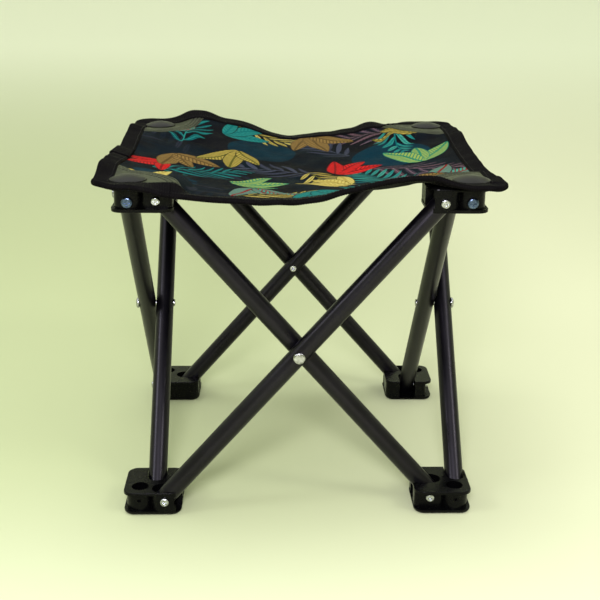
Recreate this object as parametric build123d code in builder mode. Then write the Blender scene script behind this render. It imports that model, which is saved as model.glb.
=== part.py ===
from build123d import *

import os
from math import atan2, cos, degrees, hypot, radians, sin

# Four-sided folding camp stool, standing open. Millimetres, +Z up, origin on the ground
# under the middle of the seat. Each side is a scissor of two straight tubes that cross at
# a rivet. The tubes end in eight identical moulded corner blocks: four stand on the ground
# as feet, four are turned over as the brackets that carry the corners of the cloth seat.

# ---- driving dimensions ------------------------------------------------------------------
TUBE_OD = 16.0
TUBE_WALL = 1.0
TUBE_END = 6.0           # tube beyond each end pivot
ROW_PITCH = 16.2         # between the outer and the inner tube of one side
RUNNING = 0.05           # radial clearance of every pivot
SLOT_PLAY = 0.2          # each side of a tube in its slot

CORNER = 134.0           # corner hole from the middle of the stool, along X and along Y
PIVOT_INSET = 21.5       # tube pivot inward of the corner hole, along the side
OUTER_ROW = 3.8          # outer tube axis, outward of the corner hole
PIVOT_HEIGHT = 13.0      # pivots above a block's closed face
PIVOT_RISE = 257.0       # lower pivots to upper pivots, stool open

BLOCK_HEIGHT = 21.0
BLOCK_OUT = 13.4         # corner hole to the block's two outer faces
BLOCK_IN = 35.1          # corner hole to the block's two inner faces
BLOCK_CORNER_R = 9.0
CLOSED_EDGE_R = 3.4
OPEN_EDGE_R = 0.7
POCKET_FLOOR = 2.8       # thickness of the closed face under the tube slots
LIP_LOW = 3.9            # the waist between the two lips starts here
LIP_HIGH = 18.3          # and ends here
LOBE_R = 11.4            # waist round the corner hole
POCKET_START = 18.6      # centre of the round end of a tube slot
POCKET_WALL = 1.4
INNER_FACE = 7.4         # recessed face outside the inner tube's slot
INNER_FACE_START = 9.75
WAIST_INSET = 0.5        # waist behind the lips on the two inner faces
INNER_SIDE_INSET = 8.0
WAIST_CORNER_R = 4.0
POCKET_CORNER_R = 2.5
CORNER_HOLE_R = 7.2
DIMPLE_R = 1.6
DIMPLE_DEPTH = 2.4
WINDOW_WIDTH = 4.2
WINDOW_HEIGHT = 7.5
WINDOW_INSET = 3.4       # middle of the window from the slot's open end
WINDOW_RISE = 0.2

TUBE_SCREW_R = 2.0
TUBE_SCREW_HEAD_R = 3.75
TUBE_SCREW_HEAD_H = 2.3
OUTER_SCREW_LENGTH = 22.4
INNER_SCREW_LENGTH = 32.4
CAP_SCREW_R = 2.25
CAP_SCREW_HEAD_R = 4.5
CAP_SCREW_HEAD_H = 2.6
HEAD_ROUNDING = 0.62     # share of a screw head's height
RECESS_LENGTH = 1.05     # shares of a screw head's radius
RECESS_WIDTH = 0.26
RECESS_DEPTH = 0.6       # share of a screw head's height
RIVET_R = 2.5
RIVET_HEAD_R = 5.0
RIVET_HEAD_H = 2.2
RIVET_ROUNDING = 0.8     # share of the head's height
RIVET_TAIL_R = 3.3
RIVET_TAIL_H = 1.2
RIVET_TAIL_GAP = 0.1
RIVET_TAIL_ROUNDING = 0.55
RIVET_BORE_R = 1.6
RIVET_BORE = 5.0         # depth of the hollow in the tail

CAP_R = 14.75
CAP_DOME = 4.6
CAP_RIM = 1.2
CAP_UNDERCUT = 0.5
CAP_UNDERCUT_H = 0.4
STEM_R = 7.15
STEM_LENGTH = 20.5
STEM_TIP = 1.0

SEAT_HALF = 160.0        # middle of the stool to the edge of the cloth
PATCH_INNER = 99.5       # a corner patch runs from here to the edge of the cloth
TIP_R = 15.0
CLOTH = 2.0              # cloth, vinyl and binding together at a corner
CLOTH_GAP = 0.1          # under and over the cloth at a corner
SOFT_GAP = 0.3
STEM_PLAY = 0.4          # cloth hole round a cap's stem
EDGE_INSET = 2.0         # edges between the corners lie this far in from the tips
EDGE_SAG = 12.0          # the cloth's edge between two corners
MIDDLE_SAG = 18.0        # the middle of the seat
HALF_DROP = 4.0          # a middle half starts this far under the corners
HALF_SAG = 3.0           # its own sag between its two edges

# ---- worked out ----------------------------------------------------------------------------
TUBE_R = TUBE_OD / 2
SLOT_HALF = TUBE_R + SLOT_PLAY
PIVOT = CORNER - PIVOT_INSET
ROW_OUT = CORNER + OUTER_ROW
ROW_IN = ROW_OUT - ROW_PITCH
LOW_Z = PIVOT_HEIGHT
HIGH_Z = PIVOT_HEIGHT + PIVOT_RISE
BRACKET_TOP = HIGH_Z + PIVOT_HEIGHT
TUBE_SPAN = hypot(2 * PIVOT, PIVOT_RISE)
LEAN = degrees(atan2(2 * PIVOT, PIVOT_RISE))
INNER_ROW = ROW_PITCH - OUTER_ROW
BLOCK_SIZE = BLOCK_OUT + BLOCK_IN
BLOCK_MIDDLE = (BLOCK_IN - BLOCK_OUT) / 2
SEAT_Z = BRACKET_TOP + CLOTH_GAP
CAP_Z = SEAT_Z + CLOTH + CLOTH_GAP
STRIP_OUT = SEAT_HALF - EDGE_INSET
STRIP_HALF = PATCH_INNER - SOFT_GAP
CAP_SCREW_LENGTH = 2 * LOBE_R - DIMPLE_DEPTH

CORNERS = ["front_left", "front_right", "back_right", "back_left"]
SIDES = ["front", "right", "back", "left"]

os.makedirs("parts", exist_ok=True)


def save(shape, name):
    """Write one finished piece as its own node."""
    with BuildPart() as piece:
        add(shape)
    piece.part.label = name
    export_step(piece.part, f"parts/{name}.step")


def as_foot(shape, turn):
    """Put a shape from the block's own frame at a lower corner."""
    return shape.moved(Location((-CORNER, -CORNER, 0))).rotate(Axis.Z, 90 * turn)


def as_bracket(shape, turn):
    """Turn a shape from the block's own frame over, and put it at an upper corner."""
    over = shape.rotate(Axis((0, 0, 0), (1, 1, 0)), 180)
    return over.moved(Location((-CORNER, -CORNER, BRACKET_TOP))).rotate(Axis.Z, 90 * turn)


# ---- corner block --------------------------------------------------------------------------
# The block's own frame has the corner hole on its Z axis, the closed face at Z = 0 and the
# stool's middle towards +X and +Y. The outer tube's slot runs along X, the inner one's along Y.

OUTER_PIVOT = Plane((PIVOT_INSET, -BLOCK_OUT, PIVOT_HEIGHT), (1, 0, 0), (0, -1, 0))
INNER_PIVOT = Plane((-INNER_FACE, PIVOT_INSET, PIVOT_HEIGHT), (0, -1, 0), (-1, 0, 0))
OUTER_LOBE = Plane((0, -LOBE_R, PIVOT_HEIGHT), (1, 0, 0), (0, -1, 0))
INNER_LOBE = Plane((-LOBE_R, 0, PIVOT_HEIGHT), (0, -1, 0), (-1, 0, 0))
POCKET_HALF = SLOT_HALF + POCKET_WALL


def rounded_area(x_from, x_to, y_from, y_to, radius):
    """A rounded rectangle between two lines each way, added to the sketch being built."""
    with Locations(((x_from + x_to) / 2, (y_from + y_to) / 2)):
        RectangleRounded(x_to - x_from, y_to - y_from, radius)


def block_waist():
    """Plan of the block between its two lips: a lobe round each hollow, with valleys between."""
    inner_edge = BLOCK_IN - WAIST_INSET
    with BuildSketch() as waist:
        Circle(LOBE_R)
        rounded_area(WAIST_INSET, inner_edge, WAIST_INSET, inner_edge, WAIST_CORNER_R)
        with Locations((POCKET_START, -OUTER_ROW)):
            Circle(POCKET_HALF)
        rounded_area(POCKET_START - POCKET_CORNER_R, BLOCK_IN + POCKET_CORNER_R,
                     -OUTER_ROW - POCKET_HALF, -OUTER_ROW + POCKET_HALF, POCKET_CORNER_R)
        rounded_area(-INNER_FACE, BLOCK_IN - INNER_SIDE_INSET, INNER_FACE_START, inner_edge,
                     WAIST_CORNER_R)
    return waist.sketch


def corner_block(screwed_face=None):
    """The moulding. screwed_face is the plane of the lobe face drilled for a cap screw."""
    with BuildPart() as block:
        with BuildSketch():
            with Locations((BLOCK_MIDDLE, BLOCK_MIDDLE)):
                RectangleRounded(BLOCK_SIZE, BLOCK_SIZE, BLOCK_CORNER_R)
        extrude(amount=BLOCK_HEIGHT)
        fillet(block.faces().sort_by(Axis.Z)[0].edges(), CLOSED_EDGE_R)
        fillet(block.faces().sort_by(Axis.Z)[-1].edges(), OPEN_EDGE_R)

        # the waist between the lips
        with BuildSketch(Plane.XY.offset(LIP_LOW)):
            with Locations((BLOCK_MIDDLE, BLOCK_MIDDLE)):
                Rectangle(2 * BLOCK_SIZE, 2 * BLOCK_SIZE)
            add(block_waist(), mode=Mode.SUBTRACT)
        extrude(amount=LIP_HIGH - LIP_LOW, mode=Mode.SUBTRACT)

        # corner hole, right through
        with BuildSketch():
            Circle(CORNER_HOLE_R)
        extrude(amount=BLOCK_HEIGHT, mode=Mode.SUBTRACT)

        # the two tube slots, open upwards and towards the middle of each side
        slot_run = BLOCK_IN + BLOCK_CORNER_R - POCKET_START
        with BuildSketch(Plane.XY.offset(POCKET_FLOOR)):
            with Locations((POCKET_START, -OUTER_ROW), (INNER_ROW, POCKET_START)):
                Circle(SLOT_HALF)
            with Locations((POCKET_START + slot_run / 2, -OUTER_ROW)):
                Rectangle(slot_run, 2 * SLOT_HALF)
            with Locations((INNER_ROW, POCKET_START + slot_run / 2)):
                Rectangle(2 * SLOT_HALF, slot_run)
        extrude(amount=BLOCK_HEIGHT, mode=Mode.SUBTRACT)

        # holes for the two tube screws
        for seat, length in ((OUTER_PIVOT, OUTER_SCREW_LENGTH), (INNER_PIVOT, INNER_SCREW_LENGTH)):
            with BuildSketch(seat):
                Circle(TUBE_SCREW_R + RUNNING)
            extrude(amount=-length, mode=Mode.SUBTRACT)

        # start holes for a cap screw on both lobe faces
        for face in (OUTER_LOBE, INNER_LOBE):
            with BuildSketch(face):
                Circle(DIMPLE_R)
            extrude(amount=-DIMPLE_DEPTH, mode=Mode.SUBTRACT)
        if screwed_face is not None:
            with BuildSketch(screwed_face):
                Circle(CAP_SCREW_R + RUNNING)
            extrude(amount=-CAP_SCREW_LENGTH, mode=Mode.SUBTRACT)

        # window in the thin wall at the open end of the outer slot
        with BuildSketch(OUTER_PIVOT):
            with Locations((BLOCK_IN - WINDOW_INSET - PIVOT_INSET, WINDOW_RISE)):
                Rectangle(WINDOW_WIDTH, WINDOW_HEIGHT)
        extrude(amount=-2 * POCKET_WALL, mode=Mode.SUBTRACT)
    return block.part


# ---- fasteners -----------------------------------------------------------------------------
def pan_head_screw(seat, shank_r, head_r, head_h, length):
    """A cross-recess screw. seat is the plane under its head, facing outward."""
    with BuildPart() as screw:
        with BuildSketch(seat):
            Circle(head_r)
        extrude(amount=head_h)
        fillet(screw.faces().sort_by(Axis(seat.origin, seat.z_dir))[-1].edges(),
               HEAD_ROUNDING * head_h)
        with BuildSketch(seat):
            Circle(shank_r)
        extrude(amount=-length)
        with BuildSketch(seat.offset(head_h)):
            Rectangle(RECESS_LENGTH * head_r, RECESS_WIDTH * head_r)
            Rectangle(RECESS_WIDTH * head_r, RECESS_LENGTH * head_r)
        extrude(amount=-RECESS_DEPTH * head_h, mode=Mode.SUBTRACT)
    return screw.part


def tube_screw(seat, length):
    return pan_head_screw(seat, TUBE_SCREW_R, TUBE_SCREW_HEAD_R, TUBE_SCREW_HEAD_H, length)


def front_rivet():
    """Semi-tubular rivet through both front tubes: domed head outside, flared tail inside."""
    crest = ROW_OUT + TUBE_R
    grip = crest - (ROW_IN - TUBE_R) + RUNNING
    seat = Plane((0, -crest - RUNNING, (LOW_Z + HIGH_Z) / 2), (1, 0, 0), (0, -1, 0))
    tail_end = grip + RIVET_TAIL_GAP + RIVET_TAIL_H
    with BuildPart() as rivet:
        with BuildSketch(seat):
            Circle(RIVET_HEAD_R)
        extrude(amount=RIVET_HEAD_H)
        fillet(rivet.faces().sort_by(Axis(seat.origin, seat.z_dir))[-1].edges(),
               RIVET_ROUNDING * RIVET_HEAD_H)
        with BuildSketch(seat):
            Circle(RIVET_R)
        extrude(amount=-tail_end)
        with BuildSketch(seat.offset(-grip - RIVET_TAIL_GAP)):
            Circle(RIVET_TAIL_R)
        extrude(amount=-RIVET_TAIL_H)
        fillet(rivet.faces().sort_by(Axis(seat.origin, seat.z_dir))[0].edges(), RIVET_TAIL_ROUNDING)
        with BuildSketch(seat.offset(-tail_end)):
            Circle(RIVET_BORE_R)
        extrude(amount=RIVET_BORE, mode=Mode.SUBTRACT)
    return rivet.part


# ---- tubes ---------------------------------------------------------------------------------
def front_tube(row, lean):
    """A straight tube in the front side, row back from the middle, leaning by lean degrees."""
    foot_x = -PIVOT if lean > 0 else PIVOT
    along = (sin(radians(lean)), 0, cos(radians(lean)))
    base = Plane((foot_x, -row, LOW_Z), (0, 1, 0), along)
    holes = ((0, TUBE_SCREW_R), (TUBE_SPAN / 2, RIVET_R), (TUBE_SPAN, TUBE_SCREW_R))
    with BuildPart() as tube:
        with BuildSketch(base.offset(-TUBE_END)):
            Circle(TUBE_R)
            Circle(TUBE_R - TUBE_WALL, mode=Mode.SUBTRACT)
        extrude(amount=TUBE_SPAN + 2 * TUBE_END)
        for distance, pin_r in holes:
            centre = base.offset(distance).origin
            with BuildSketch(Plane(centre, along, (0, 1, 0))):
                Circle(pin_r + RUNNING)
            extrude(amount=TUBE_OD, both=True, mode=Mode.SUBTRACT)
    return tube.part


# ---- cap -----------------------------------------------------------------------------------
def front_left_cap(screw_side):
    """Low domed cap with a stem through the cloth and the bracket's corner hole."""
    profile_plane = Plane((-CORNER, -CORNER, CAP_Z), (1, 0, 0), (0, -1, 0))
    rise = CAP_DOME - CAP_RIM
    dome_r = (CAP_R ** 2 + rise ** 2) / (2 * rise)
    half_x = CAP_R / 2
    half_point = (half_x, CAP_DOME - dome_r + (dome_r ** 2 - half_x ** 2) ** 0.5)
    with BuildPart() as cap:
        with BuildSketch(profile_plane):
            with BuildLine():
                Polyline((0, CAP_DOME), (0, -STEM_LENGTH), (STEM_R - STEM_TIP, -STEM_LENGTH),
                         (STEM_R, STEM_TIP - STEM_LENGTH), (STEM_R, 0), (CAP_R - CAP_UNDERCUT, 0),
                         (CAP_R, CAP_UNDERCUT_H), (CAP_R, CAP_RIM))
                ThreePointArc((CAP_R, CAP_RIM), half_point, (0, CAP_DOME))
            make_face()
        revolve(axis=Axis((-CORNER, -CORNER, 0), (0, 0, 1)))
        with BuildSketch(Plane((-CORNER, -CORNER, HIGH_Z), z_dir=screw_side)):
            Circle(CAP_SCREW_R + RUNNING)
        extrude(amount=CAP_R, both=True, mode=Mode.SUBTRACT)
    return cap.part


def front_left_cap_screw(screw_side):
    seat = Plane((-CORNER, -CORNER, HIGH_Z), z_dir=screw_side).offset(LOBE_R)
    return pan_head_screw(seat, CAP_SCREW_R, CAP_SCREW_HEAD_R, CAP_SCREW_HEAD_H, CAP_SCREW_LENGTH)


# ---- seat ----------------------------------------------------------------------------------
# One sewn cloth. It is divided where it folds: a stiff patch at each corner, a strip at the
# left and right edges and two halves of the middle. The pieces are plain closed solids.

def front_left_patch():
    middle = -(SEAT_HALF + PATCH_INNER) / 2
    size = SEAT_HALF - PATCH_INNER
    with BuildPart() as patch:
        with BuildSketch(Plane.XY.offset(SEAT_Z)):
            with Locations((middle, middle)):
                Rectangle(size, size)
        extrude(amount=CLOTH)
        fillet(patch.edges().filter_by(Axis.Z).group_by(Axis.X)[0].sort_by(Axis.Y)[0], TIP_R)
        with BuildSketch(Plane.XY.offset(SEAT_Z)):
            with Locations((-CORNER, -CORNER)):
                Circle(STEM_R + STEM_PLAY)
        extrude(amount=CLOTH, mode=Mode.SUBTRACT)
    return patch.part


def hanging_band(plane, start, end, sag, width):
    """A cloth band: an arc from start to end, sag below their chord, as thick as the cloth."""
    middle = ((start[0] + end[0]) / 2, (start[1] + end[1]) / 2 - sag)
    with BuildPart() as band:
        with BuildSketch(plane):
            with BuildLine():
                ThreePointArc(start, middle, end)
                Line(end, (end[0], end[1] + CLOTH))
                ThreePointArc((end[0], end[1] + CLOTH), (middle[0], middle[1] + CLOTH),
                              (start[0], start[1] + CLOTH))
                Line((start[0], start[1] + CLOTH), start)
            make_face()
        extrude(amount=width)
    return band.part


def edge_strip():
    """The left edge of the cloth, between the two left corner patches."""
    outer = Plane((-STRIP_OUT, 0, 0), (0, 1, 0), (1, 0, 0))
    return hanging_band(outer, (-STRIP_HALF, SEAT_Z), (STRIP_HALF, SEAT_Z), EDGE_SAG,
                        STRIP_OUT - PATCH_INNER - SOFT_GAP)


def middle_half():
    """The left half of the middle of the cloth, from the front edge to the back edge."""
    back = Plane((0, STRIP_OUT, 0), (1, 0, 0), (0, -1, 0))
    start = (-CORNER + BLOCK_IN + 2 * SOFT_GAP, SEAT_Z - HALF_DROP)
    return hanging_band(back, start, (-SOFT_GAP, SEAT_Z - MIDDLE_SAG), HALF_SAG, 2 * STRIP_OUT)


# ---- assembly ------------------------------------------------------------------------------
plain_block = corner_block()
foot_screws = [tube_screw(OUTER_PIVOT, OUTER_SCREW_LENGTH),
               tube_screw(INNER_PIVOT, INNER_SCREW_LENGTH)]
outer_tube = front_tube(ROW_OUT, LEAN)
inner_tube = front_tube(ROW_IN, -LEAN)
rivet_shape = front_rivet()
patch_shape = front_left_patch()

for turn, (corner, side) in enumerate(zip(CORNERS, SIDES)):
    # the cap screws face the front and the back of the stool
    facing_row = turn % 2 == 1
    screw_side = (-1, 0, 0) if facing_row else (0, -1, 0)
    bracket_shape = corner_block(OUTER_LOBE if facing_row else INNER_LOBE)

    save(as_foot(plain_block, turn), f"foot_{corner}")
    save(Compound(children=[as_foot(screw, turn) for screw in foot_screws]),
         f"foot_screws_{corner}")
    save(as_bracket(bracket_shape, turn), f"bracket_{corner}")
    save(Compound(children=[as_bracket(screw, turn) for screw in foot_screws]),
         f"bracket_screws_{corner}")

    save(outer_tube.rotate(Axis.Z, 90 * turn), f"tube_outer_{side}")
    save(inner_tube.rotate(Axis.Z, 90 * turn), f"tube_inner_{side}")
    save(rivet_shape.rotate(Axis.Z, 90 * turn), f"rivet_{side}")

    save(front_left_cap(screw_side).rotate(Axis.Z, 90 * turn), f"cap_{corner}")
    save(front_left_cap_screw(screw_side).rotate(Axis.Z, 90 * turn), f"cap_screw_{corner}")
    save(patch_shape.rotate(Axis.Z, 90 * turn), f"seat_corner_{corner}")

for name, half_turn in (("left", 0), ("right", 180)):
    save(edge_strip().rotate(Axis.Z, half_turn), f"seat_edge_{name}")
    save(middle_half().rotate(Axis.Z, half_turn), f"seat_middle_{name}")
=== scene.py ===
from math import pi, radians

import bpy
import numpy as np
from mathutils import Euler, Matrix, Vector


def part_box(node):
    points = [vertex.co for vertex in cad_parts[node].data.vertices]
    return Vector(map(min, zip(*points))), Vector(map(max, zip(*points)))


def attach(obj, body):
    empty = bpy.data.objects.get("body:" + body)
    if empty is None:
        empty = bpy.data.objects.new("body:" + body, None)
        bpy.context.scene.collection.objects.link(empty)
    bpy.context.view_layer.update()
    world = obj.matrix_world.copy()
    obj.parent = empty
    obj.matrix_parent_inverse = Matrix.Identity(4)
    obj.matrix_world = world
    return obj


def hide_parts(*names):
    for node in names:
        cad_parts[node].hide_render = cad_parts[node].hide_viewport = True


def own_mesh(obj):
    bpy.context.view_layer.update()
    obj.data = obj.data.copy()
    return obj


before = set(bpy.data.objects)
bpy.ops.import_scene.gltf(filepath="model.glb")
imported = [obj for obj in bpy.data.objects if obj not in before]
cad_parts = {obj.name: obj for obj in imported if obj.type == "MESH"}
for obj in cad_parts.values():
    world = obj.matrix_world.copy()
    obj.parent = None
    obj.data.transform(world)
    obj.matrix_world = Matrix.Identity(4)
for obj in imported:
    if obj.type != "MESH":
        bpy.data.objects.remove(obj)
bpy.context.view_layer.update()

# Looks of the folding camp stool: the sewn cloth seat with its print, bound edge and vinyl
# corner patches, and the finish of every tube, block and fastener. Shapes are worked out in
# millimetres and turned into metres when a mesh is made.

MM = 0.001
CORNERS = {"front_left": (-1, -1), "front_right": (1, -1), "back_right": (1, 1), "back_left": (-1, 1)}

# ---- places taken from the frame --------------------------------------------------------------
corner_low, corner_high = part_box("seat_corner_front_left")
cap_low, cap_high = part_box("cap_front_left")
bracket_low, bracket_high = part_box("bracket_front_left")
HALF = -corner_low.x / MM                      # middle of the seat to its edge
FOLD = -corner_high.x / MM                     # the corner pieces start here
HOLE = -(cap_low.x + cap_high.x) / 2 / MM      # cap centre from the middle
CAP_R = (cap_high.x - cap_low.x) / 2 / MM
BLOCK_TOP = bracket_high.z / MM
BLOCK_FROM = -bracket_high.x / MM
BLOCK_TO = -bracket_low.x / MM

# ---- the cloth --------------------------------------------------------------------------------
CLOTH_T = 1.6                    # cloth thickness
TIP_R = 16.0                     # rounding of the four tips
CLOTH_CLEAR = 0.3                # between the cloth and the brackets
REST = BLOCK_TOP + CLOTH_T / 2 + CLOTH_CLEAR
MIDDLE_SAG = 22.0
STEP = 2.0                       # mesh spacing

# heights of the cloth along its four edges: (position along the edge, height). About two thirds are
# rounded from a scratch program's reading of the photograph's outline, and the rest lie between
# those.
FRONT_EDGE = [(-160, 288), (-142, 286), (-118, 281), (-94, 277), (-60, 274.5), (-20, 273), (8, 274.5),
              (36, 282), (60, 288), (92, 293), (120, 289), (141, 284.5), (160, 283.5)]
BACK_EDGE = [(-160, 287), (-145, 290), (-118, 293.5), (-92, 295), (-72, 289), (-47, 283), (-20, 272),
             (-5, 269), (10, 271), (45, 275), (62, 278), (80, 283.5), (96, 282), (123, 284.5),
             (146, 286), (160, 284.5)]
LEFT_EDGE = [(-160, 288), (-145, 289.5), (-117, 292.5), (-90, 292), (-60, 289), (-25, 285.5), (10, 283),
             (67, 288), (115, 290), (145, 288.5), (160, 287)]
RIGHT_EDGE = [(-160, 283.5), (-130, 283), (-80, 279), (-24, 279.5), (37, 283.5), (70, 287), (115, 287),
              (150, 285), (160, 284.5)]
EDGE_REACH = 50.0                # how far in from an edge its own line is felt
SAG_POWER = 2.2                  # how square the dip in the middle is
CREASED_TO = (110, 150)          # the middle's creases fade out between these distances
FAN_CREASES = 11                 # creases round each cap
FAN_HEIGHT, FAN_AWAY, FAN_WIDE = 0.8, 62, 26
PRESS_IN, PRESS_OUT = 14, 10     # how far off a bracket the cloth starts to rest on it
CAP_HOLD, CAP_EASE = 1.5, 26     # past a cap's rim the cloth is flat, and then free
NORMAL_STEP = 0.4


def smooth_line(points, at):
    """A smooth curve through the points, read at the given positions."""
    x, z = np.array(points, float).T
    slope = np.gradient(z, x)
    at = np.clip(at, x[0], x[-1])
    i = np.clip(np.searchsorted(x, at) - 1, 0, len(x) - 2)
    span = x[i + 1] - x[i]
    t = (at - x[i]) / span
    return ((2 * t ** 3 - 3 * t ** 2 + 1) * z[i] + (t ** 3 - 2 * t ** 2 + t) * span * slope[i]
            + (3 * t ** 2 - 2 * t ** 3) * z[i + 1] + (t ** 3 - t ** 2) * span * slope[i + 1])


def ramp(value, start, end):
    """0 before start, 1 after end, smooth between."""
    t = np.clip((value - start) / (end - start), 0, 1)
    return t * t * (3 - 2 * t)


def cloth_base(x, y):
    """The plain dip that the edges' own lines are added to."""
    a, b = np.abs(x) / HALF, np.abs(y) / HALF
    return REST - MIDDLE_SAG * np.clip(1 - a ** SAG_POWER, 0, 1) * np.clip(1 - b ** SAG_POWER, 0, 1)


def cloth_height(x, y):
    """Height of the middle of the cloth's thickness over the point x, y."""
    z = cloth_base(x, y)
    fades = {}
    for name, away in (("left", x + HALF), ("right", HALF - x), ("front", y + HALF), ("back", HALF - y)):
        fades[name] = np.exp(-np.clip(away, 0, None) / EDGE_REACH)
    for name, line, at in (("front", FRONT_EDGE, x), ("back", BACK_EDGE, x),
                           ("left", LEFT_EDGE, y), ("right", RIGHT_EDGE, y)):
        z = z + (smooth_line(line, at) - REST) * fades[name]
    for line, end, pair in ((FRONT_EDGE, 0, ("front", "left")), (FRONT_EDGE, -1, ("front", "right")),
                            (BACK_EDGE, 0, ("back", "left")), (BACK_EDGE, -1, ("back", "right"))):
        z = z - (line[end][1] - REST) * fades[pair[0]] * fades[pair[1]]
    # soft creases: some across the middle, some radiating from the caps
    inner = 1 - ramp(np.maximum(np.abs(x), np.abs(y)), *CREASED_TO)
    z = z + 0.7 * inner * np.sin((0.8 * x + 0.6 * y) / 9.0 + 1.5 * np.sin(y / 37.0))
    z = z + 0.5 * inner * np.sin((0.5 * x - 0.9 * y) / 6.5 + 1.2 * np.sin(x / 29.0))
    for sx, sy in CORNERS.values():
        away = np.hypot(x - sx * HOLE, y - sy * HOLE)
        turn = np.arctan2(y - sy * HOLE, x - sx * HOLE)
        z = z + FAN_HEIGHT * np.cos(FAN_CREASES * turn + sx) * np.exp(-((away - FAN_AWAY) / FAN_WIDE) ** 2)
    # the cloth lies on the brackets, and the caps hold it down
    for sx, sy in CORNERS.values():
        px, py = sx * x, sy * y
        over = 1.0
        for at in (px, py):
            over = over * (ramp(at, BLOCK_FROM - PRESS_IN, BLOCK_FROM)
                           * (1 - ramp(at, BLOCK_TO, BLOCK_TO + PRESS_OUT)))
        z = z + (np.maximum(z, REST) - z) * over
        away = np.hypot(px - HOLE, py - HOLE)
        z = REST + (z - REST) * ramp(away, CAP_R + CAP_HOLD, CAP_R + CAP_EASE)
    return z


def cloth_normal(x, y):
    small = NORMAL_STEP
    dx = (cloth_height(x + small, y) - cloth_height(x - small, y)) / (2 * small)
    dy = (cloth_height(x, y + small) - cloth_height(x, y - small)) / (2 * small)
    normal = np.stack([-dx, -dy, np.ones_like(dx)], -1)
    return normal / np.linalg.norm(normal, axis=-1, keepdims=True)


def on_cloth(x, y, up):
    """Points that stand up by up from the middle of the cloth, square to it."""
    x, y, up = np.broadcast_arrays(np.asarray(x, float), np.asarray(y, float), np.asarray(up, float))
    place = np.stack([x, y, cloth_height(x, y)], -1)
    return place + cloth_normal(x, y) * up[..., None]


def round_tips(x, y, half):
    """Push the square tips of a grid in to their rounding."""
    start = half - TIP_R
    s, t = (np.abs(x) - start) / TIP_R, (np.abs(y) - start) / TIP_R
    tip = (s > 0) & (t > 0)
    big, small = np.maximum(s, t), np.minimum(s, t)
    turn = pi / 4 * small / np.where(big > 0, big, 1)
    turn = np.where(s > t, turn, pi / 2 - turn)
    x = np.where(tip, np.sign(x) * (start + TIP_R * big * np.cos(turn)), x)
    y = np.where(tip, np.sign(y) * (start + TIP_R * big * np.sin(turn)), y)
    return x, y


# ---- meshes -----------------------------------------------------------------------------------
def new_object(name, points, faces, material, smooth=True):
    """A mesh object from points in millimetres."""
    mesh = bpy.data.meshes.new(name)
    mesh.from_pydata((np.asarray(points).reshape(-1, 3) * MM).tolist(), [], faces)
    mesh.polygons.foreach_set("use_smooth", [smooth] * len(mesh.polygons))
    mesh.update()
    made = bpy.data.objects.new(name, mesh)
    bpy.context.scene.collection.objects.link(made)
    mesh.materials.append(material)
    return made


def flat_uv(made, plan):
    """Cloth coordinates, in metres on the flat cloth, for the print and the weave."""
    layer = made.data.uv_layers.new(name="cloth")
    loops = np.zeros(len(made.data.loops), int)
    made.data.loops.foreach_get("vertex_index", loops)
    layer.data.foreach_set("uv", (np.asarray(plan).reshape(-1, 2)[loops] * MM).ravel())


def grid_faces(rows, columns, start=0, flip=False):
    """Quads of a grid of points kept row by row."""
    faces = []
    for i in range(rows - 1):
        for j in range(columns - 1):
            a = start + i * columns + j
            quad = [a, a + columns, a + columns + 1, a + 1]
            faces.append(quad[::-1] if flip else quad)
    return faces


def rim_faces(rows, columns):
    """Quads that close the edge between a top grid and the bottom grid stored after it."""
    ring = [j for j in range(columns)] + [i * columns + columns - 1 for i in range(1, rows)]
    ring += [(rows - 1) * columns + j for j in range(columns - 2, -1, -1)]
    ring += [i * columns for i in range(rows - 2, 0, -1)]
    below = rows * columns
    return [[a, b, b + below, a + below] for a, b in zip(ring, ring[1:] + ring[:1])]


def shell(name, x, y, top, bottom, top_material, bottom_material=None):
    """A closed thin piece that follows the cloth, between two heights over its middle."""
    rows, columns = x.shape
    points = np.concatenate([on_cloth(x, y, top).reshape(-1, 3), on_cloth(x, y, bottom).reshape(-1, 3)])
    mirrored = np.cross([x[1, 0] - x[0, 0], y[1, 0] - y[0, 0]], [x[0, 1] - x[0, 0], y[0, 1] - y[0, 0]]) < 0
    faces = grid_faces(rows, columns, 0, mirrored)
    faces += grid_faces(rows, columns, rows * columns, not mirrored)
    faces += [f[::-1] for f in rim_faces(rows, columns)] if mirrored else rim_faces(rows, columns)
    made = new_object(name, points, faces, top_material)
    flat_uv(made, np.concatenate([np.stack([x, y], -1).reshape(-1, 2)] * 2))
    if bottom_material is not None:
        made.data.materials.append(bottom_material)
        tops = (rows - 1) * (columns - 1)
        made.data.polygons.foreach_set("material_index", [0] * tops + [1] * (len(faces) - tops))
    return made


def keep_cloth_normals(made, x, y):
    """Shade a piece by the whole cloth's own normals, so that no seam shows between pieces."""
    normal = cloth_normal(x, y).reshape(-1, 3)
    made.data.normals_split_custom_set_from_vertices(np.concatenate([normal, -normal]).tolist())


# ---- the edge of the cloth ---------------------------------------------------------------------
STRAIGHT = HALF - TIP_R
QUARTER = 2 * STRAIGHT + pi / 2 * TIP_R
CORNER_FROM = FOLD
CORNER_TO = QUARTER - FOLD


def outline(along, inward):
    """Point on the flat cloth, by distance along its edge from the middle of the front edge
    towards the right, and by distance in from the edge."""
    along, inward = np.broadcast_arrays(np.asarray(along, float), np.asarray(inward, float))
    quarter = np.floor(along / QUARTER)
    s = along - quarter * QUARTER
    turn = np.clip((s - STRAIGHT) / TIP_R, 0, pi / 2)
    x = np.minimum(s, STRAIGHT) + (TIP_R - inward) * np.sin(turn)
    y = -STRAIGHT - (TIP_R - inward) * np.cos(turn) + np.clip(s - QUARTER + STRAIGHT, 0, None)
    angle = quarter * pi / 2
    return x * np.cos(angle) - y * np.sin(angle), x * np.sin(angle) + y * np.cos(angle)


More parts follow.
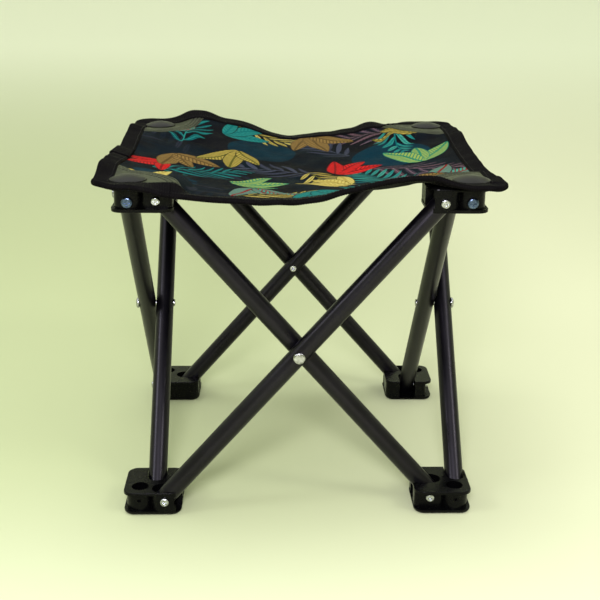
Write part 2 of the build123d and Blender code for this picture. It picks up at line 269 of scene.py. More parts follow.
# the folded tape from its inner edge on top, round the cloth's edge, to its inner edge below
TAPE_PROFILE = [(13.6, 0.7), (13.5, 1.5), (13.0, 1.95), (11.5, 2.1), (9.0, 2.15), (5.5, 2.2), (2.8, 2.35),
                (1.0, 2.3), (-0.1, 1.7), (-0.6, 0.8), (-0.7, 0.0), (-0.6, -0.8), (-0.1, -1.7),
                (1.0, -2.2), (2.8, -2.15), (5.5, -1.9), (9.0, -1.8), (11.5, -1.75), (13.0, -1.65),
                (13.5, -1.3), (13.6, -0.7)]
RIB_PITCH = 1.9
RIB = 0.16
PUCKER, PUCKER_WAVE, PUCKER_DRIFT = 0.5, 5.3, 23.0
TAPE_NOSE = 6.0                  # the ribs show round the edge this far in
TAPE_FACE = 1.5                  # the profile's points above this are the tape's two faces
THREAD_R = 0.26
STITCH_IN = 11.3
STITCH_PITCH = 3.2
STITCH_LONG = 2.3
STITCH_ENDS = (1.0, 2.6)         # the row of stitches starts and stops this far from a tape's ends
STITCH_UPS = (2.15, -1.8)        # the tape's faces where the stitches lie


def pucker(along):
    """Long low waves in the sewn tape."""
    return PUCKER * (0.5 + 0.5 * np.sin(along / PUCKER_WAVE + 2.0 * np.sin(along / PUCKER_DRIFT)))


def tape(name, start, end, material, lift=0.0):
    """Ribbed binding along the cloth's edge, from start to end along it."""
    count = int((end - start) / (RIB_PITCH / 4)) + 1
    along = np.linspace(start, end, count)[:, None]
    inward, up = np.array(TAPE_PROFILE).T
    rib = RIB * np.cos(2 * pi * along / RIB_PITCH)
    nose = np.clip(1 - inward / TAPE_NOSE, 0, 1)
    sideways = inward - nose * rib - lift * (inward < 2)
    face = np.abs(up) > TAPE_FACE
    tall = up + np.sign(up) * (rib * face + lift) + pucker(along) * face
    x, y = outline(along, sideways)
    points = on_cloth(x, y, tall)
    rows, columns = x.shape
    faces = grid_faces(rows, columns)
    last = columns - 1
    faces += [[i * columns + last, (i + 1) * columns + last, (i + 1) * columns, i * columns]
              for i in range(rows - 1)]
    faces += [list(range(columns)), [(rows - 1) * columns + j for j in range(last, -1, -1)]]
    made = new_object(name, points, faces, material)
    flat_uv(made, np.stack(np.broadcast_arrays(along, inward), -1))
    return made


def thread_run(name, starts, ends, radius, material):
    """Short rounded stitches between pairs of points."""
    starts, ends = np.asarray(starts), np.asarray(ends)
    axis = ends - starts
    length = np.linalg.norm(axis, axis=1, keepdims=True)
    axis = axis / length
    side = np.cross(axis, [0.0, 0.0, 1.0])
    side /= np.linalg.norm(side, axis=1, keepdims=True)
    other = np.cross(axis, side)
    sides, rings = 6, [(0.0, 0.35), (0.12, 0.9), (0.5, 1.0), (0.88, 0.9), (1.0, 0.35)]
    points, faces = [], []
    for k in range(len(starts)):
        base = len(points)
        for share, wide in rings:
            centre = starts[k] + axis[k] * length[k] * share
            for turn in np.arange(sides) * 2 * pi / sides:
                points.append(centre + radius * wide * (side[k] * np.cos(turn) + other[k] * np.sin(turn)))
        for r in range(len(rings) - 1):
            for j in range(sides):
                a, b = base + r * sides + j, base + r * sides + (j + 1) % sides
                faces.append([a, b, b + sides, a + sides])
        faces.append([base + j for j in range(sides - 1, -1, -1)])
        faces.append([base + (len(rings) - 1) * sides + j for j in range(sides)])
    return new_object(name, points, faces, material)


def tape_stitches(name, start, end, material):
    """The row of stitches that holds the binding, above and below."""
    at = np.arange(start + STITCH_ENDS[0], end - STITCH_ENDS[1], STITCH_PITCH)
    runs = []
    for up in STITCH_UPS:
        first, last = outline(at, STITCH_IN), outline(at + STITCH_LONG, STITCH_IN)
        runs.append((on_cloth(*first, up + pucker(at)), on_cloth(*last, up + pucker(at + STITCH_LONG))))
    starts, ends = (np.concatenate([run[i] for run in runs]) for i in (0, 1))
    return thread_run(name, starts, ends, THREAD_R, material)


# ---- vinyl patches -----------------------------------------------------------------------------
PATCH_R = 70.0
PATCH_FROM = 14.0
PATCH_UNDER = CLOTH_T / 2 - 0.1
PATCH_UP = CLOTH_T / 2 + 0.65
SEAM_LINES = (67.6, 64.2, 60.4)
GROOVE = 0.5
GROOVE_WIDE = 0.8
SEAM_BAND, SEAM_STEP = 13.0, 0.35    # the band with the seams has a finer mesh
PATCH_EDGE, PATCH_THIN = 1.0, 0.5    # the patch thins out over its last stretch
SEAM_END = 0.19 * 60             # a seam starts and stops this far from the cloth's edge
SEAM_STITCH = 0.72               # length of a stitch for its pitch
SEAM_THREAD_R = 0.24
SEAM_THREAD_UP = 0.16


def patch(corner, material):
    """A quarter-round vinyl patch with its sewn grooves."""
    sx, sy = CORNERS[corner]
    rim = np.arange(PATCH_R - SEAM_BAND, PATCH_R + 0.01, SEAM_STEP)
    away = np.concatenate([np.arange(PATCH_FROM, rim[0] - 1.0, STEP), rim])[:, None]
    turn = np.linspace(0.0, pi / 2, 64)[None, :]
    x = sx * (HALF - away * np.cos(turn))
    y = sy * (HALF - away * np.sin(turn))
    up = PATCH_UP - PATCH_THIN * ramp(away, PATCH_R - PATCH_EDGE, PATCH_R)
    for line in SEAM_LINES:
        up = up - GROOVE * np.exp(-((away - line) / GROOVE_WIDE) ** 2)
    return shell(f"vinyl_{corner}", x, y, up + 0 * x, PATCH_UNDER + 0 * x, material)


def patch_stitches(corner, material):
    """The stitches in a patch's grooves."""
    sx, sy = CORNERS[corner]
    starts, ends = [], []
    for line in SEAM_LINES:
        pitch = STITCH_PITCH / line
        turn = np.arange(SEAM_END / line, pi / 2 - SEAM_END / line, pitch)
        for store, angle in ((starts, turn), (ends, turn + SEAM_STITCH * pitch)):
            x = sx * (HALF - line * np.cos(angle))
            y = sy * (HALF - line * np.sin(angle))
            store.append(on_cloth(x, y, PATCH_UP - GROOVE + SEAM_THREAD_UP))
    return thread_run(f"vinyl_thread_{corner}", np.concatenate(starts), np.concatenate(ends),
                      SEAM_THREAD_R, material)


# ---- materials ---------------------------------------------------------------------------------
def rgb(red, green, blue):
    """A colour from 0 to 255 screen values."""
    return tuple((c / 255 / 12.92) if c < 11 else ((c / 255 + 0.055) / 1.055) ** 2.4
                 for c in (red, green, blue)) + (1.0,)


class Graph:
    """Short ways to add shader nodes to one tree."""

    def __init__(self, tree):
        self.tree = tree

    def feed(self, socket, value):
        if isinstance(value, bpy.types.NodeSocket):
            self.tree.links.new(value, socket)
        else:
            socket.default_value = value

    def node(self, kind, inputs=(), **settings):
        made = self.tree.nodes.new(kind)
        for key, value in settings.items():
            setattr(made, key, value)
        for key, value in dict(inputs).items():
            self.feed(made.inputs[key], value)
        return made

    def math(self, operation, *values, clamp=False):
        made = self.node("ShaderNodeMath", operation=operation, use_clamp=clamp)
        for socket, value in zip(made.inputs, values):
            self.feed(socket, value)
        return made.outputs[0]

    def add(self, a, b):
        return self.math("ADD", a, b)

    def subtract(self, a, b):
        return self.math("SUBTRACT", a, b)

    def times(self, a, b):
        return self.math("MULTIPLY", a, b)

    def over(self, a, b):
        return self.math("DIVIDE", a, b)

    def size(self, a):
        return self.math("ABSOLUTE", a)

    def inside(self, depth, soft=0.3):
        """1 where depth is above 0, 0 below, over a soft edge."""
        return self.math("MULTIPLY_ADD", depth, 1 / soft, 0.5, clamp=True)

    def mix(self, share, a, b):
        made = self.node("ShaderNodeMix", data_type="RGBA")
        for key, value in ((0, share), (6, a), (7, b)):
            self.feed(made.inputs[key], value)
        return made.outputs[2]

    def vector_math(self, operation, a, b=None):
        made = self.node("ShaderNodeVectorMath", operation=operation)
        self.feed(made.inputs[0], a)
        if b is not None:
            self.feed(made.inputs["Scale"] if operation == "SCALE" else made.inputs[1], b)
        return made.outputs[0]

    def split(self, vector):
        made = self.node("ShaderNodeSeparateXYZ", {"Vector": vector})
        return made.outputs[0], made.outputs[1]

    def noise(self, vector, scale, detail=3.0, roughness=0.5):
        made = self.node("ShaderNodeTexNoise", {"Vector": vector, "Scale": scale, "Detail": detail,
                                                "Roughness": roughness})
        return made.outputs[0]

    def remap(self, value, low, high, to_low, to_high):
        made = self.node("ShaderNodeMapRange", {"Value": value, "From Min": low, "From Max": high,
                                                "To Min": to_low, "To Max": to_high})
        return made.outputs[0]

    def smooth_step(self, value, low, high):
        made = self.node("ShaderNodeMapRange", {"Value": value, "From Min": low, "From Max": high},
                         interpolation_type="SMOOTHSTEP")
        return made.outputs[0]

    def bump(self, height, strength, distance, normal=None):
        made = self.node("ShaderNodeBump", {"Height": height, "Strength": strength, "Distance": distance})
        if normal is not None:
            self.feed(made.inputs["Normal"], normal)
        return made.outputs[0]


def material(name, **fixed):
    """A Principled material. fixed are the inputs that are the same all over."""
    made = bpy.data.materials.new(name)
    made.use_nodes = True
    graph = Graph(made.node_tree)
    shader = made.node_tree.nodes["Principled BSDF"]
    for key, value in fixed.items():
        shader.inputs[key.replace("_", " ").title().replace("Ior", "IOR")].default_value = value
    return made, graph, shader


def object_place(graph):
    """Place on the part, in millimetres."""
    place = graph.node("ShaderNodeTexCoord").outputs["Object"]
    return graph.vector_math("SCALE", place, 1000.0)


def flat_place(graph):
    """Place on the flat cloth or tape, in millimetres."""
    place = graph.node("ShaderNodeUVMap", uv_map="cloth").outputs[0]
    return graph.vector_math("SCALE", place, 1000.0)


def speckled(name, dark, light, rough, grain, grain_deep, **fixed):
    """A moulded or coated surface: two close shades, uneven gloss, fine grain."""
    made, graph, shader = material(name, **fixed)
    place = object_place(graph)
    cloud = graph.noise(place, 0.045, 4.0)
    graph.feed(shader.inputs["Base Color"], graph.mix(graph.remap(cloud, 0.35, 0.7, 0, 1), dark, light))
    smear = graph.noise(place, 0.11, 5.0, 0.6)
    graph.feed(shader.inputs["Roughness"], graph.remap(smear, 0.3, 0.7, rough[0], rough[1]))
    fine = graph.noise(place, grain, 2.0)
    graph.feed(shader.inputs["Normal"], graph.bump(fine, 0.35, grain_deep * MM))
    return made


def turned_metal(name, colour, tint, rough):
    """Plated screw and rivet steel with faint scratches."""
    made, graph, shader = material(name, metallic=1.0)
    place = object_place(graph)
    stain = graph.noise(place, 0.35, 4.0, 0.6)
    graph.feed(shader.inputs["Base Color"], graph.mix(graph.remap(stain, 0.35, 0.65, 0, 1), colour, tint))
    graph.feed(shader.inputs["Roughness"], graph.remap(graph.noise(place, 1.1, 3.0), 0.3, 0.7, *rough))
    graph.feed(shader.inputs["Normal"], graph.bump(graph.noise(place, 2.5, 3.0), 0.25, 0.05 * MM))
    return made


def weave_height(graph, place, pitch):
    """Over-and-under threads of a plain weave."""
    wave = graph.vector_math("SINE", graph.vector_math("SCALE", place, 2 * pi / pitch))
    across, along = graph.split(wave)
    return graph.times(graph.add(graph.times(across, along), 1.0), 0.5)


LEAF_INPUTS = [("Under", "NodeSocketColor"), ("Place", "NodeSocketVector"), ("Base", "NodeSocketVector"),
               ("Angle", "NodeSocketFloat"), ("Length", "NodeSocketFloat"), ("Reach", "NodeSocketFloat"),
               ("Pitch", "NodeSocketFloat"), ("Fullness", "NodeSocketFloat"), ("Bend", "NodeSocketFloat"),
               ("Light", "NodeSocketColor"), ("Dark", "NodeSocketColor"), ("Vein", "NodeSocketColor")]


LAYER_SHIFT = 1e-7               # millimetres of shift for a full step of colour


def leaf_group(name):
    """An empty print group with the inputs shared by every motif, and its stem coordinates."""
    tree = bpy.data.node_groups.new(name, "ShaderNodeTree")
    for key, kind in LEAF_INPUTS:
        tree.interface.new_socket(key, in_out="INPUT", socket_type=kind)
    tree.interface.new_socket("Colour", in_out="OUTPUT", socket_type="NodeSocketColor")
    graph = Graph(tree)
    given = graph.node("NodeGroupInput").outputs
    # a shift far too small to see makes each motif wait for the one under it, which keeps the
    # renderer's working memory for one material small
    late = graph.vector_math("ADD", given["Place"], graph.times(given["Under"], LAYER_SHIFT))
    away = graph.vector_math("SUBTRACT", late, given["Base"])
    back = graph.times(given["Angle"], -1.0)
    turned = graph.node("ShaderNodeVectorRotate", {"Vector": away, "Angle": back}, rotation_type="Z_AXIS")
    s, t = graph.split(turned.outputs[0])
    along = graph.over(s, given["Length"])
    curve = graph.times(given["Bend"], graph.times(along, along))
    return tree, graph, given, s, graph.subtract(t, curve), along


def between_ends(graph, along):
    """1 between the two ends of a stem, 0 past them."""
    return graph.times(graph.math("GREATER_THAN", along, 0.0), graph.math("LESS_THAN", along, 1.0))


def close_group(tree, graph, colour):
    graph.node("NodeGroupOutput", {"Colour": colour})
    return tree


def spray_group(sweep):
    """Leaflets in two rows along a curved stem. sweep is how far they lean to the tip."""
    tree, graph, given, s, t, along = leaf_group("print_spray")
    side = graph.math("GREATER_THAN", t, 0.0)
    out = graph.size(t)
    root = graph.subtract(s, graph.times(out, sweep))
    steps = graph.add(graph.over(root, given["Pitch"]), graph.times(side, 0.5))
    cell = graph.math("FLOOR", steps)
    across = graph.times(graph.subtract(graph.subtract(steps, cell), 0.5), given["Pitch"])
    place = graph.over(graph.times(graph.add(cell, 0.25), given["Pitch"]), given["Length"])
    left = graph.math("MAXIMUM", graph.subtract(1.02, place), 0.0)
    young = graph.math("MINIMUM", graph.math("MULTIPLY_ADD", place, 2.0, 0.6), 1.0)
    reach = graph.times(given["Reach"], graph.times(graph.math("POWER", left, 0.6), young))
    share = graph.math("MINIMUM", graph.over(out, graph.math("MAXIMUM", reach, 0.01)), 1.0)
    belly = graph.math("SINE", graph.times(graph.math("POWER", share, 0.85), pi))
    half = graph.times(graph.times(graph.math("POWER", belly, 0.7), given["Fullness"]),
                       graph.times(given["Pitch"], 0.5))
    depth = graph.subtract(half, graph.size(across))
    on_stem = graph.math("GREATER_THAN", place, 0.0)
    mask = graph.times(graph.inside(graph.subtract(depth, 0.15)), on_stem)
    lot = graph.node("ShaderNodeTexWhiteNoise", {"W": graph.math("MULTIPLY_ADD", side, 0.37, cell)},
                     noise_dimensions="1D").outputs["Value"]
    shade = graph.mix(lot, given["Light"], given["Dark"])
    ridge = graph.math("FRACT", graph.over(graph.subtract(out, graph.size(across)), 2.6))
    ridge = graph.inside(graph.subtract(0.22, ridge), 0.2)
    shade = graph.mix(graph.times(ridge, 0.45), shade, given["Vein"])
    colour = graph.mix(mask, given["Under"], shade)
    rib = graph.times(graph.inside(graph.subtract(0.55, graph.size(across))), mask)
    stem = graph.times(graph.inside(graph.subtract(0.6, out)), between_ends(graph, along))
    return close_group(tree, graph, graph.mix(graph.math("MAXIMUM", rib, stem), colour, given["Vein"]))


def blade_group():
    """One large leaf with a rib, side veins and an outline. Fullness is the outline's width."""
    tree, graph, given, s, t, along = leaf_group("print_blade")
    ends = between_ends(graph, along)
    safe = graph.math("MINIMUM", graph.math("MAXIMUM", along, 0.0), 1.0)
    belly = graph.math("SINE", graph.times(graph.math("POWER", safe, 0.8), pi))
    half = graph.times(graph.math("POWER", belly, 0.65), graph.times(given["Reach"], 0.5))
    out = graph.size(t)
    depth = graph.subtract(half, out)
    mask = graph.times(graph.inside(depth), ends)
    inner = graph.times(graph.inside(graph.subtract(depth, given["Fullness"])), ends)
    stripe = graph.math("FRACT", graph.over(graph.subtract(s, graph.times(out, 0.9)), given["Pitch"]))
    stripe = graph.inside(graph.subtract(0.17, graph.size(graph.subtract(stripe, 0.5))), 0.12)
    rib = graph.inside(graph.subtract(graph.math("MULTIPLY_ADD", given["Reach"], 0.01, 0.9), out))
    colour = graph.mix(mask, given["Under"], given["Vein"])
    leaf = graph.mix(graph.math("MAXIMUM", stripe, rib), given["Light"], given["Dark"])
    return close_group(tree, graph, graph.mix(inner, colour, leaf))


def disc_group():
    """A soft round spot behind the leaves. Length is its radius."""
    tree, graph, given, s, t, along = leaf_group("print_disc")
    away = graph.math("SQRT", graph.add(graph.times(s, s), graph.times(t, t)))
    mask = graph.inside(graph.subtract(given["Length"], away), 0.8)
    shade = graph.mix(graph.noise(given["Place"], 0.06, 2.0), given["Light"], given["Dark"])
    return close_group(tree, graph, graph.mix(mask, given["Under"], shade))


INK = {
    "ground": rgb(17, 18, 22), "night": rgb(12, 24, 33), "disc": rgb(8, 52, 66), "deep": rgb(6, 40, 54),
    "teal": rgb(36, 128, 120), "sea": rgb(16, 104, 104), "dark_teal": rgb(9, 66, 72),
    "mint": rgb(68, 152, 134), "leaf": rgb(38, 128, 98), "lime": rgb(150, 172, 84),
    "straw": rgb(206, 190, 104), "mustard": rgb(176, 156, 74), "olive": rgb(96, 92, 34),
    "red": rgb(214, 36, 34),
    "wine": rgb(132, 22, 26), "mauve": rgb(124, 96, 108), "brown": rgb(74, 54, 58),
    "slate": rgb(66, 70, 86), "ash": rgb(42, 45, 57), "tan": rgb(140, 112, 62), "bronze": rgb(92, 72, 38),
}

# The print is a generic all-over leaf design. It takes its colours and its kinds of leaf from the
# photograph, and none of its places: each layer, from the bottom up, is scattered on a shaken grid.
PRINT_HALF = 150.0               # half the side of the printed square, in millimetres
PRINT_SEED = 11
PRINT_SHAKE = 0.32               # how far a motif strays, as a share of its grid square
SPRIG_SPREAD = 33.0              # degrees between the leaves that grow from one point
# kind, motifs across, leaves in each, lengths, reach / length, pitch, fullness, bend, inks in turn
PRINT_LAYERS = [
    ("disc", 2, 1, (26, 40), 0.0, 0, 0, 0, ("disc deep deep", "disc night deep")),
    ("spray", 3, 1, (84, 116), 0.32, 13, 0.6, 10,
     ("ash night night", "slate ash slate", "brown ash mauve", "ash slate slate")),
    ("spray", 3, 1, (72, 104), 0.33, 11, 0.62, 9,
     ("sea dark_teal teal", "straw mustard olive", "mint teal sea", "red wine wine")),
    ("blade", 4, 3, (38, 64), 0.36, 4.4, 0.8, 4,
     ("straw mustard olive", "mint wine ground", "teal sea ground", "tan bronze bronze",
      "mustard olive ground", "red wine wine", "lime leaf leaf")),
]


def scattered_motifs():
    """Every motif of the print: kind, x, y, angle, length, reach, pitch, fullness, bend, inks."""
    draw = np.random.default_rng(PRINT_SEED)
    for kind, across, leaves, lengths, slimness, pitch, fullness, bend, inks in PRINT_LAYERS:
        square = 2 * PRINT_HALF / across
        for cell in range(across * across):
            row, column = divmod(cell, across)
            x, y = ((k + 0.5 + draw.uniform(-PRINT_SHAKE, PRINT_SHAKE)) * square - PRINT_HALF
                    for k in (column, row))
            turn = draw.uniform(0, 360)
            back = 0.0 if kind == "disc" else sum(lengths) / 4
            base = x - back * np.cos(radians(turn)), y - back * np.sin(radians(turn))
            for leaf in range(leaves):
                length = float(draw.uniform(*lengths))
                angle = turn + (leaf - (leaves - 1) / 2) * SPRIG_SPREAD
                yield (kind, float(base[0]), float(base[1]), float(angle), length, slimness * length,
                       pitch, fullness, bend, inks[(cell + row) % len(inks)])


NIGHT_PATCHES = 0.014


def printed_cloth():
    """Printed polyester: motifs laid over a near-black ground, on a plain weave."""
    made, graph, shader = material("cloth_print", specular_ior_level=0.02)
    place = flat_place(graph)
    cloud = graph.noise(place, NIGHT_PATCHES, 2.0)
    colour = graph.mix(graph.remap(cloud, 0.45, 0.6, 0, 1), INK["ground"], INK["night"])
    groups = {"spray": spray_group(1.05), "blade": blade_group(), "disc": disc_group()}
    for kind, x, y, angle, length, reach, pitch, fullness, bend, inks in scattered_motifs():
        light, dark, vein = (INK[ink] for ink in inks.split())
        motif = graph.node("ShaderNodeGroup", node_tree=groups[kind])
        values = {"Under": colour, "Place": place, "Base": (x, y, 0.0), "Angle": radians(angle),
                  "Length": length, "Reach": reach, "Pitch": pitch, "Fullness": fullness, "Bend": bend,
                  "Light": light, "Dark": dark, "Vein": vein}
        for key, value in values.items():
            graph.feed(motif.inputs[key], value)
        colour = motif.outputs["Colour"]
    threads = weave_height(graph, place, 0.75)
    worn = graph.remap(graph.noise(place, 0.5, 4.0, 0.65), 0.3, 0.7, 0.56, 0.84)
    # painted shade: the colour is darker in the weave's valleys than on its thread tops
    shade = graph.times(worn, graph.remap(threads, 0, 1, 0.86, 1.06))
    tone = graph.node("ShaderNodeCombineXYZ", {"X": shade, "Y": shade, "Z": shade}).outputs[0]
    graph.feed(shader.inputs["Base Color"], graph.vector_math("MULTIPLY", colour, tone))
    graph.feed(shader.inputs["Roughness"], graph.remap(graph.noise(place, 0.05, 3.0), 0.3, 0.7, 0.55, 0.72))
    graph.feed(shader.inputs["Normal"], graph.bump(threads, 0.35, 0.12 * MM))
    return made


def plain_weave(name, dark, light, pitch, rough, **fixed):
    """Unprinted cloth, tape or thread."""
    made, graph, shader = material(name, **fixed)
    place = flat_place(graph)
    threads = weave_height(graph, place, pitch)
    cloud = graph.noise(place, 0.12, 4.0)
    # painted shade: the colour is darker in the weave's valleys than on its thread tops
    share = graph.times(graph.remap(cloud, 0.3, 0.7, 0.2, 1.0), threads)
    graph.feed(shader.inputs["Base Color"], graph.mix(share, dark, light))
    graph.feed(shader.inputs["Roughness"], graph.remap(cloud, 0.3, 0.7, *rough))
    graph.feed(shader.inputs["Normal"], graph.bump(threads, 0.4, 0.15 * MM))
    return made


def vinyl():
    """Smooth dark olive vinyl with a faint leather grain and scuffs."""
    made, graph, shader = material("vinyl_olive", specular_ior_level=0.16)
    place = flat_place(graph)
    cells = graph.node("ShaderNodeTexVoronoi", {"Vector": place, "Scale": 0.75}, feature="DISTANCE_TO_EDGE")
    creases = graph.math("MINIMUM", cells.outputs["Distance"], 0.12)
    cloud = graph.noise(place, 0.06, 4.0, 0.6)
    colour = graph.mix(graph.remap(cloud, 0.3, 0.7, 0, 1), rgb(32, 35, 24), rgb(58, 63, 42))
    graph.feed(shader.inputs["Base Color"], colour)
    graph.feed(shader.inputs["Roughness"], graph.remap(graph.noise(place, 0.3, 4.0), 0.3, 0.7, 0.34, 0.5))
    graph.feed(shader.inputs["Normal"], graph.bump(creases, 0.3, 0.15 * MM))
    return made


def powder_coat():
    """Black satin coat on steel tube: faint orange peel, uneven gloss, a few dusty rubs."""
    made, graph, shader = material("tube_coat", specular_ior_level=0.3, specular_tint=(0.9, 0.84, 1.0, 1.0))
    place = object_place(graph)
    peel = graph.noise(place, 1.3, 2.0)
    cloud = graph.noise(place, 0.03, 4.0)
    rub = graph.remap(graph.noise(place, 0.16, 6.0, 0.7), 0.62, 0.8, 0, 0.5)
    colour = graph.mix(graph.remap(cloud, 0.35, 0.65, 0, 1), rgb(3, 3, 5), rgb(7, 6, 10))
    graph.feed(shader.inputs["Base Color"], graph.mix(rub, colour, rgb(26, 24, 30)))
    graph.feed(shader.inputs["Roughness"], graph.remap(cloud, 0.3, 0.7, 0.27, 0.34))
    graph.feed(shader.inputs["Normal"], graph.bump(peel, 0.25, 0.05 * MM))
    return made


# ---- finishes of the frame's own parts -----------------------------------------------------------
coat = powder_coat()
plastic = speckled("block_black", rgb(3, 3, 4), rgb(7, 7, 7), (0.2, 0.32), 1.6, 0.04,
                   specular_ior_level=0.1)
cap_plastic = speckled("cap_grey", rgb(16, 16, 15), rgb(25, 25, 23), (0.28, 0.4), 1.2, 0.04,
                       specular_ior_level=0.18)
bright = turned_metal("screw_bright", rgb(206, 210, 216), rgb(150, 150, 152), (0.14, 0.3))
blue_zinc = turned_metal("screw_blue_zinc", rgb(98, 114, 142), rgb(64, 78, 104), (0.18, 0.34))
rivet_plate = turned_metal("rivet_plate", rgb(196, 198, 202), rgb(140, 140, 142), (0.12, 0.24))

FINISHES = [("tube_", coat), ("rivet_", rivet_plate), ("foot_screws_", bright), ("bracket_screws_", bright),
            ("cap_screw_", blue_zinc), ("cap_", cap_plastic), ("foot_", plastic), ("bracket_", plastic)]
for name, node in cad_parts.items():
    for start, finish in FINISHES:
        if name.startswith(start):
            node.data.materials.clear()
            node.data.materials.append(finish)
            break

# ---- the seat --------------------------------------------------------------------------------------
cloth_print = printed_cloth()
cloth_back = plain_weave("cloth_back", rgb(7, 7, 9), rgb(14, 14, 17), 0.75, (0.6, 0.8),
                         specular_ior_level=0.06)
tape_black = plain_weave("tape_black", rgb(6, 5, 6), rgb(17, 15, 17), 0.6, (0.4, 0.56),
                         specular_ior_level=0.02)
thread_dark = plain_weave("thread_dark", rgb(12, 12, 11), rgb(24, 24, 21), 0.4, (0.5, 0.6),
                          specular_ior_level=0.1)
thread_black = plain_weave("thread_black", rgb(9, 8, 9), rgb(22, 20, 21), 0.4, (0.4, 0.5),
                           specular_ior_level=0.1)
olive_vinyl = vinyl()

MIDDLE_KEEP = 0.106            # the folded halves hang this much of their width apart
MIDDLE_TO = -107.9 * MM         # the place front to back that the halves gather towards
STRIP_KEEP = 0.03               # the strips keep this share of their length
LAP = 1.5                       # how far the doubled tape stands out
LAP_BEFORE, LAP_AFTER = 10, 34  # and how far it runs each way from the middle of the left edge
CLOTH_HALF = HALF - 1.0


def spaced(start, end):
    return np.linspace(start, end, int(round((end - start) / STEP)) + 1)


def cloth_piece(name, x_from, x_to, y_from, y_to):
    """A stretch of the one cloth, between two lines each way on the flat cloth."""
    x, y = np.meshgrid(spaced(x_from, x_to), spaced(y_from, y_to), indexing="ij")
    x, y = round_tips(x, y, CLOTH_HALF)
    made = shell(name, x, y, CLOTH_T / 2 + 0 * x, -CLOTH_T / 2 + 0 * x, cloth_print, cloth_back)
    keep_cloth_normals(made, x, y)
    return made


def crumple(piece, keep, anchor_y):
    """Give a seat piece its own copy of its mesh."""
    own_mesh(piece)


def seat_parts(cloth, body, edges, squeeze=None):
    """Bind a cloth piece and put it, its tape and its stitches on their body."""
    parts = []
    for label, start, end in edges:
        parts.append(tape(f"binding_{label}", start, end, tape_black))
        parts.append(tape_stitches(f"binding_thread_{label}", start, end, thread_black))
    for piece in [cloth] + parts:
        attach(piece, body)
        if squeeze is not None:
            crumple(piece, *squeeze)
    return parts


for index, (corner, (sx, sy)) in enumerate(CORNERS.items()):
    node = f"seat_corner_{corner}"
    x_ends = sorted((sx * FOLD, sx * CLOTH_HALF))
    y_ends = sorted((sy * FOLD, sy * CLOTH_HALF))
    cloth = cloth_piece(f"cloth_corner_{corner}", *x_ends, *y_ends)
    quarter = (index - 1) * QUARTER
    edges = [(corner, quarter + CORNER_FROM, quarter + CORNER_TO)]
    parts = seat_parts(cloth, f"bracket_{corner}", edges)
    leather = patch(corner, olive_vinyl)
    seams = patch_stitches(corner, thread_dark)
    for piece in (leather, seams):
        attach(piece, f"bracket_{corner}")
    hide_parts(node)

SIDE_EDGES = {"left": (2 * QUARTER + CORNER_TO, 3 * QUARTER + CORNER_FROM),
              "right": (CORNER_TO, QUARTER + CORNER_FROM)}
HALF_EDGES = {"left": [("front_left_half", -CORNER_FROM, 0), ("back_left_half", 2 * QUARTER,
                                                              2 * QUARTER + CORNER_FROM)],
              "right": [("front_right_half", 0, CORNER_FROM), ("back_right_half", QUARTER + CORNER_TO,
                                                               2 * QUARTER)]}
for side, sx in (("left", -1), ("right", 1)):
    x_ends = sorted((sx * FOLD, sx * CLOTH_HALF))
    strip = cloth_piece(f"cloth_edge_{side}", *x_ends, -FOLD, FOLD)
    edges = [(f"{side}_edge", *SIDE_EDGES[side])]
    parts = seat_parts(strip, f"bracket_front_{side}", edges, (STRIP_KEEP, -FOLD * MM))
    if side == "left":
        # the binding's two ends overlap here
        middle_left = 3 * QUARTER
        doubled = tape("binding_lap", middle_left - LAP_BEFORE, middle_left + LAP_AFTER, tape_black, LAP)
        lap = doubled
        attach(lap, "bracket_front_left")
        crumple(lap, STRIP_KEEP, -FOLD * MM)
        parts.append(lap)
    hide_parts(f"seat_edge_{side}")

    x_ends = sorted((0.0, sx * FOLD))
    middle = cloth_piece(f"cloth_middle_{side}", *x_ends, -CLOTH_HALF, CLOTH_HALF)
    parts = seat_parts(middle, f"seat_middle_{side}", HALF_EDGES[side], (MIDDLE_KEEP, MIDDLE_TO))
    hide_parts(f"seat_middle_{side}")

# ---- floor, light and camera -----------------------------------------------------------------------
# the floor's colours are painted light and shade: lighter near the front, a painted shade band from under
# the stool back, painted light to the right and far back
FLOOR_NEAR, FLOOR_PAINTED_SHADE, FLOOR_FAR = rgb(206, 211, 178), rgb(184, 193, 150), rgb(240, 246, 218)
FLOOR_PAINTED_LIGHT_RIGHT = rgb(214, 217, 184)
# the painted light and shade on the paper change between these places, in millimetres
FRONT_FADE, RIGHT_FADE, BACK_FADE = (-450, 0), (-150, 450), (500, 4500)
# rings of the paper, in metres: radius and height, flat and then a wall that no view looks past
FLOOR_RINGS = ((0.0, 0.0), (0.4, 0.0), (0.8, 0.0), (1.6, 0.0), (4.0, 0.0), (30.0, 0.0), (36.0, 24.0))
FLOOR_SIDES = 96


def floor():
    """The pale green paper, with painted light and shade in its colour: lighter near the front, a painted
    shadow band from under the stool back, painted light to the right and far back.
    """
    sides = FLOOR_SIDES
    points = [(1000 * r * np.cos(2 * pi * k / sides), 1000 * r * np.sin(2 * pi * k / sides), 1000 * z)
              for r, z in FLOOR_RINGS for k in range(sides)]
    faces = []
    for i in range(len(FLOOR_RINGS) - 1):
        inner, outer = i * sides, (i + 1) * sides
        faces += [[inner + k, outer + k, outer + (k + 1) % sides, inner + (k + 1) % sides]
                  for k in range(sides)]
    paper, graph, shader = material("paper", specular_ior_level=0.1, roughness=0.9)
    across, deep = graph.split(object_place(graph))
    # painted light and shade: darker from the front to under the stool, lighter to the right, lighter again
    # far back
    colour = graph.mix(graph.smooth_step(deep, *FRONT_FADE), FLOOR_NEAR, FLOOR_PAINTED_SHADE)
    colour = graph.mix(graph.smooth_step(across, *RIGHT_FADE), colour, FLOOR_PAINTED_LIGHT_RIGHT)
    colour = graph.mix(graph.smooth_step(deep, *BACK_FADE), colour, FLOOR_FAR)
    graph.feed(shader.inputs["Base Color"], colour)
    return new_object("floor", points, faces, paper)


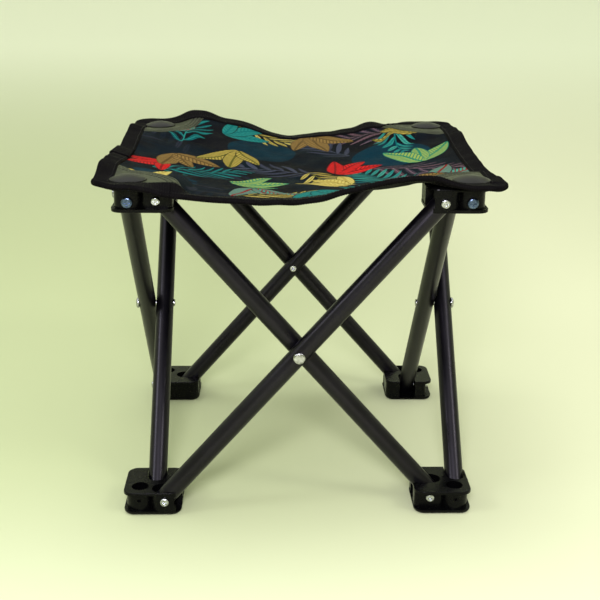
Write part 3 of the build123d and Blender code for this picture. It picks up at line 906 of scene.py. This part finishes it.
# name, place, aim, size in metres, watts, colour
LIGHTS = [
    ("key", (1.6, -1.1, 1.9), (0, 0, 0.15), 0.6, 10, (1.0, 0.98, 0.94)),
    ("top", (-0.3, 0.2, 2.3), (0, 0, 0.2), 1.1, 11, (0.97, 0.98, 1.0)),
    ("rim", (-1.5, -0.6, 1.3), (0, 0, 0.2), 0.5, 6, (0.92, 0.94, 1.0)),
    ("front", (-0.1, -1.3, 0.85), (0, 0, 0.15), 0.4, 19, (0.93, 0.89, 1.0)),
]


def area_light(name, place, aim, size, power, colour):
    lamp = bpy.data.lights.new(name, "AREA")
    lamp.shape = "DISK"
    lamp.size = size
    lamp.energy = power
    lamp.color = colour
    made = bpy.data.objects.new(name, lamp)
    bpy.context.scene.collection.objects.link(made)
    made.location = place
    made.rotation_euler = (Vector(place) - Vector(aim)).to_track_quat("Z", "Y").to_euler()


# a room that is bright above and behind the stool, and darker in front of it
ROOM_BRIGHT, ROOM_DARK = rgb(238, 239, 232), rgb(120, 120, 116)
ROOM_TOWARD, ROOM_FADE, ROOM_STRENGTH = (0.0, 0.55, 0.85), (-0.45, 0.6), 1.24


def room():
    """The soft light from all round."""
    world = bpy.data.worlds.new("studio")
    bpy.context.scene.world = world
    world.use_nodes = True
    sky = Graph(world.node_tree)
    facing = sky.node("ShaderNodeVectorMath", operation="DOT_PRODUCT")
    sky.feed(facing.inputs[0], sky.node("ShaderNodeTexCoord").outputs["Generated"])
    facing.inputs[1].default_value = ROOM_TOWARD
    glow = sky.mix(sky.smooth_step(facing.outputs["Value"], *ROOM_FADE), ROOM_DARK, ROOM_BRIGHT)
    background = world.node_tree.nodes["Background"]
    sky.feed(background.inputs["Color"], glow)
    background.inputs["Strength"].default_value = ROOM_STRENGTH


floor()
room()
for light in LIGHTS:
    area_light(*light)

# the photograph's viewing angle, fitted to the stool's outlines; angles in degrees
CAMERA_PLACE = (-0.02296, -0.98007, 0.4608)
CAMERA_TURN, CAMERA_DOWN, CAMERA_ROLL = -1.587, 17.907, 0.497
LENS_MM, SENSOR_MM = 66.14, 36.0

lens = bpy.data.cameras.new("camera")
lens.lens = LENS_MM
lens.sensor_width = SENSOR_MM
camera = bpy.data.objects.new("camera", lens)
bpy.context.scene.collection.objects.link(camera)
camera.location = CAMERA_PLACE
camera.rotation_euler = (Euler((0, 0, radians(CAMERA_TURN))).to_matrix()
                         @ Euler((radians(90 - CAMERA_DOWN), 0, 0)).to_matrix()
                         @ Euler((0, 0, radians(CAMERA_ROLL))).to_matrix()).to_euler()
bpy.context.scene.camera = camera
bpy.context.scene.view_settings.view_transform = "Standard"
